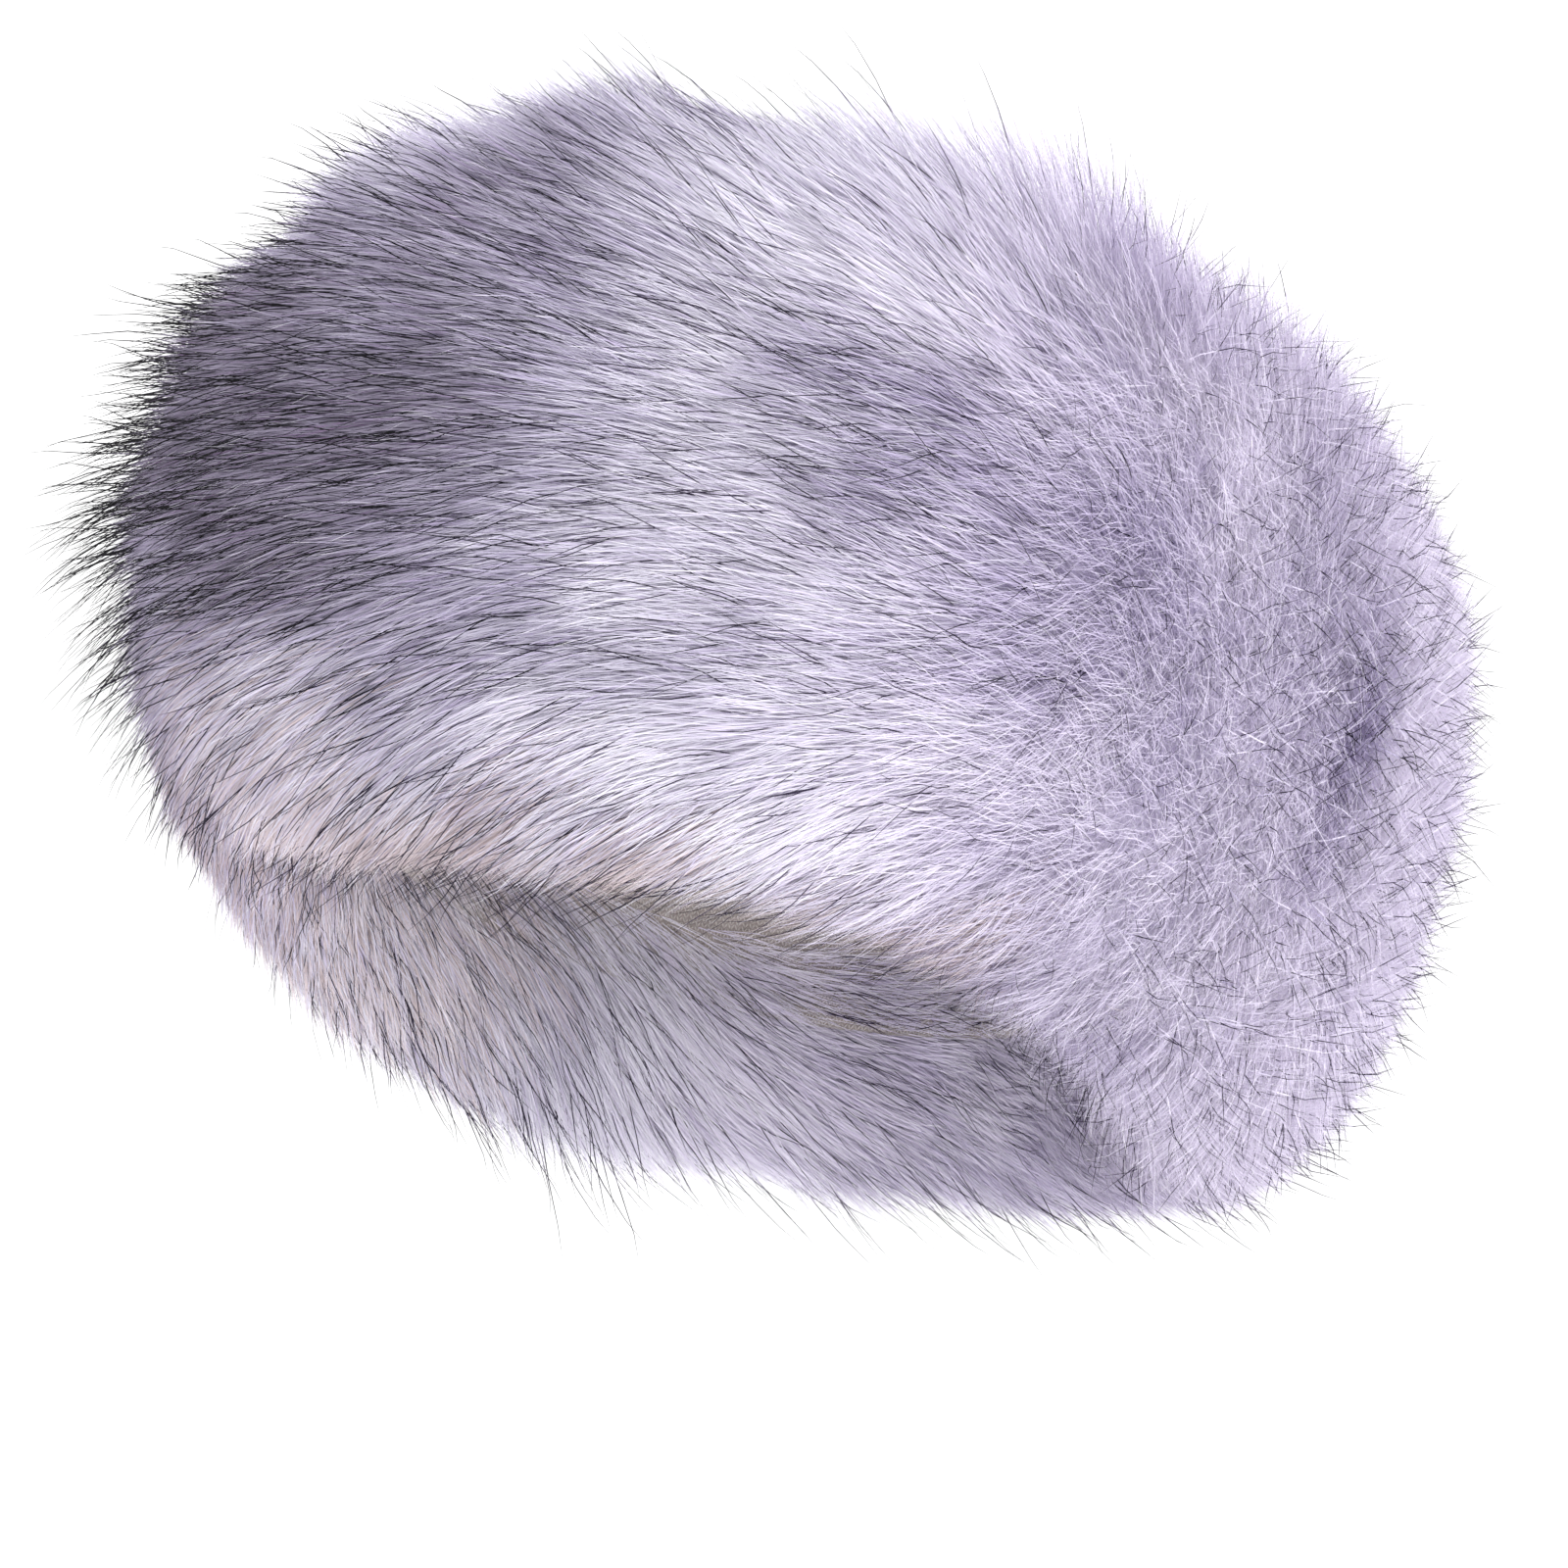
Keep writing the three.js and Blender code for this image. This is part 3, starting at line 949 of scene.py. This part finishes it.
def give_map(mesh, columns, rows, first_column=0, stops=None):
    """A map for a closed grid of quads: columns across it, rows up it, cut at the first column."""
    stops = np.linspace(0, 1, columns + 1) if stops is None else stops
    vertex = np.array([corner.vertex_index for corner in mesh.loops])
    face = np.repeat(np.arange(columns * rows), 4)
    column, row = (face // rows - first_column) % columns, face % rows
    ahead = ((vertex // rows - first_column) % columns - column) % columns
    above = (vertex % rows - row) % rows
    where = np.stack([stops[column + ahead], (row + above) / rows], -1)
    mesh.uv_layers.new(name="OFBake").data.foreach_set("uv", where.astype(np.float32).ravel())


give_map(undercoat_mesh, ROUND_LOOP, ROUND_SECTION, ROUND_LOOP // 2)

fluff = Paint("packed_underfur", 0.85, 0.15)
along_streaks = fluff.mapped(LOOP_LENGTH / STREAK_LENGTH, SECTION_LENGTH / STREAK_WIDTH)
streak = fluff.noise(along_streaks, 1.0, 2.0)
# colour follows the streaks' relief: partly the fibre's own streaky tone, partly painted shade in the low
# grooves
shade = fluff.math("MULTIPLY_ADD", fluff.math("SUBTRACT", streak, 0.5), 0.5, fluff.attribute("paleness"))
grey, plum_hair, sandy = (fluff.ramp(shade, root) for root in UNDERFUR_ROOTS)
cool = fluff.mix(fluff.attribute("plum"), grey, plum_hair)
fluff.colour(fluff.mix(fluff.attribute("warmth"), cool, sandy))
fluff.relief(streak, STREAK_DEPTH)
undercoat_mesh.materials.append(fluff.finish)
print("undercoat map:", undercoat_mesh.uv_layers[0].name)

# %% [markdown]
# ## The ground cloth
#
# The pile is knitted into a strip of cloth, cut a little longer than the head is round and joined
# into a loop at the back. Nobody sees its inner face in wear, so it is finished plainly: a fine
# knit of small upright V shapes, and one low seam at the nape. The strip is a thin closed solid made
# column by column, with its columns closer together at the nape, so that the seam's low ridge is
# round. The knit is relief in its finish, because its stitches are far too many and too small to be
# cut into the form.

# %% Ground cloth
CLOTH_COLUMNS = 240
CLOTH_ROWS = 14  # on each face of the strip
CLOSER_AT_NAPE = 0.75
SEAM_HALF_WIDTH = 0.0032
SEAM_RISE = 0.0010


def column_turn(column):
    """The turn of a column of the strip; the columns crowd together at the nape."""
    even = column * 2 * math.pi / CLOTH_COLUMNS
    return even + CLOSER_AT_NAPE * np.sin(even)


def cloth_points():
    """Points of the strip, column by column: up its inner face, then down its outer face."""
    turn = np.repeat(column_turn(np.arange(CLOTH_COLUMNS)), 2 * CLOTH_ROWS)
    level = np.linspace(-1, 1, CLOTH_ROWS) * CLOTH_HALF_HEIGHT
    up = np.tile(np.concatenate([level, level[::-1]]), CLOTH_COLUMNS)
    outer = np.tile(np.repeat([0.0, 1.0], CLOTH_ROWS), CLOTH_COLUMNS)
    from_seam = np.clip(np.abs(turn - math.pi) * HEAD_HALF_LENGTH / SEAM_HALF_WIDTH, 0, 1)
    ridge = SEAM_RISE * np.cos(from_seam * math.pi / 2) ** 2 * (1 - outer)
    out = head_radius(turn) - hug(up) + outer * CLOTH_THICKNESS - ridge
    return as_worn(turn, out, up)


ground_cloth = closed_ring("ground_cloth", cloth_points(), CLOTH_COLUMNS, 2 * CLOTH_ROWS)
from_nape = column_turn(CLOTH_COLUMNS // 2 + np.arange(CLOTH_COLUMNS + 1)) / (2 * math.pi)
give_map(ground_cloth.data, CLOTH_COLUMNS, 2 * CLOTH_ROWS, CLOTH_COLUMNS // 2, from_nape - from_nape[0])

# %% Knit finish
WALE = 0.0016  # one column of knit stitches
COURSE = 0.0012  # one row of them
LOOP_INSIDE = 0.553
KNIT_DEPTH = 0.0004
# dark to light of the knit: the dark end is painted shade in the stitches' hollows, mixed with the yarn's own
# uneven tone
KNIT_TONES_AND_HOLLOW_SHADE = ((0.15, linear(150, 141, 138)), (0.55, linear(190, 181, 178)), (0.95, linear(214, 207, 204)))

knit = Paint("plain_knit", 0.85, 0.2)
wales, courses = LOOP_INSIDE / WALE, 2 * CLOTH_HALF_HEIGHT / COURSE
print(f"knit of {wales:.0f} wales round and {courses:.0f} courses high on each face")
round_loop, up_strip, _ = knit.apart(knit.mapped(wales, 2 * courses))
in_wale = knit.math("ABSOLUTE", knit.math("SUBTRACT", knit.math("FRACT", round_loop), 0.5))
slant = knit.math("MULTIPLY_ADD", in_wale, -1.6, up_strip)
leg = knit.math("MULTIPLY_ADD", knit.math("SINE", knit.math("MULTIPLY", slant, 2 * math.pi)), 0.5, 0.5)
off_leg = knit.math("MULTIPLY", knit.math("ABSOLUTE", knit.math("SUBTRACT", in_wale, 0.25)), 4.0)
dip = knit.math("SUBTRACT", 1.0, knit.math("POWER", off_leg, 3.0))
stitch = knit.math("MULTIPLY", leg, dip)
yarn = knit.noise(knit.mapped(1.0, 0.4), 180.0, 3.0)
# darker where the stitch relief is low, which is painted shade in the hollows, plus the yarn's own uneven
# tone
tone = knit.math("MULTIPLY_ADD", stitch, 0.55, knit.math("MULTIPLY", yarn, 0.45))
knit.colour(knit.ramp(tone, KNIT_TONES_AND_HOLLOW_SHADE))
knit.relief(stitch, KNIT_DEPTH, 0.8)
ground_cloth.data.materials.append(knit.finish)

# %% [markdown]
# ## The nape seam's stitches
#
# The two ends of the strip are held together by a row of slanting stitches. All of them are the same
# short bent thread, so a tree makes one, repeats it up the seam, leans every second one the other
# way, and then bends the whole row to the cloth, which closes in on the head above and below.

# %% Seam stitches
SEAM_SEWN = 0.96  # share of the strip's width that is sewn
THREAD_STEPS = 6
THREAD_SIDES = 6
THREAD_TWISTS = 1800.0  # in a metre
THREAD_TWIST_DEPTH = 0.0001
THREAD_TONES_AND_GROOVE_SHADE = ((0.3, linear(158, 149, 150)), (0.7, linear(205, 198, 197)))
STITCH_INPUTS = (
    ("Stitches", "NodeSocketInt", 36),
    ("Seam length", "NodeSocketFloat", 0.1),
    ("Stitch width", "NodeSocketFloat", 0.0054),
    ("Stitch rise", "NodeSocketFloat", 0.0024),
    ("Slant", "NodeSocketFloat", 0.5),
    ("Thread radius", "NodeSocketFloat", 0.00024),
    ("Material", "NodeSocketMaterial", None),
)


def stitch_tree():
    """A tree that sews a row of slanting stitches up the inner face of the nape."""
    b = Bench(tree_with("slanting_seam_stitches", STITCH_INPUTS))
    given = b.given
    step = b.math("DIVIDE", given["Seam length"], given["Stitches"])
    half_length = b.math("MULTIPLY", given["Seam length"], 0.5)
    lowest = b.math("SUBTRACT", b.math("MULTIPLY", step, 0.5), half_length)
    line = {"Count": given["Stitches"], "Start Location": b.together(z=lowest), "Offset": b.together(z=step)}
    row = b.node("GeometryNodeMeshLine", line).outputs[0]
    half = b.math("MULTIPLY", given["Stitch width"], 0.5)
    ends = {"Start": b.together(x=b.math("MULTIPLY", half, -1)), "End": b.together(x=half)}
    arch = {**ends, "Middle": b.together(y=given["Stitch rise"]), "Resolution": THREAD_STEPS}
    bend = b.node("GeometryNodeCurveQuadraticBezier", arch).outputs[0]
    round_thread = {"Resolution": THREAD_SIDES, "Radius": given["Thread radius"]}
    profile = b.node("GeometryNodeCurvePrimitiveCircle", round_thread).outputs[0]
    tube = {"Curve": bend, "Profile Curve": profile, "Fill Caps": True}
    thread = b.node("GeometryNodeCurveToMesh", tube).outputs[0]
    odd = b.math("MODULO", b.node("GeometryNodeInputIndex").outputs[0], 2.0)
    lean = b.math("MULTIPLY", given["Slant"], b.math("MULTIPLY_ADD", odd, 2.0, -1.0))
    stitches = b.repeated(row, thread, b.together(y=lean))
    x, y, z = b.apart(b.position())
    level = b.math("MINIMUM", b.math("DIVIDE", b.math("ABSOLUTE", z), CLOTH_HALF_HEIGHT), 1.0)
    closing = b.math("MULTIPLY", b.math("MULTIPLY", level, level), CLOTH_HUG)
    out = b.math("SUBTRACT", b.math("SUBTRACT", HEAD_HALF_LENGTH, closing), y)
    bent = b.moved(stitches, b.together(x, out, z))
    tilted = {"Geometry": bent, "Rotation": (WORN_TILT, WORN_ROLL, 0.0)}
    return b.finished(b.node("GeometryNodeTransform", tilted).outputs[0])


thread = Paint("sewing_thread", 0.6, 0.3)
# the thread is darker where its twist relief is low: painted shade in the grooves, mixed with the thread's
# own uneven tone
twist = thread.noise(thread.node("ShaderNodeTexCoord").outputs["Object"], THREAD_TWISTS, 2.0)
thread.colour(thread.ramp(twist, THREAD_TONES_AND_GROOVE_SHADE))
thread.relief(twist, THREAD_TWIST_DEPTH)
sewing = {"Seam length": SEAM_SEWN * 2 * CLOTH_HALF_HEIGHT, "Material": thread.finish}
nape_stitches = grown("nape_stitches", ground_cloth, stitch_tree(), sewing)

# %% [markdown]
# ## Joining the pieces to the frame
#
# The solid model has one body, and every piece rides on it. The hair and the undercoat stand for the
# solid pile, and the ground cloth and its stitches for the solid cloth.

# %% Join the pieces to the frame
for piece in pile + [undercoat]:
    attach(piece, "root")
    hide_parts("fur_pile")
for piece in (ground_cloth, nape_stitches):
    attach(piece, "root")
    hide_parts("base_cloth")
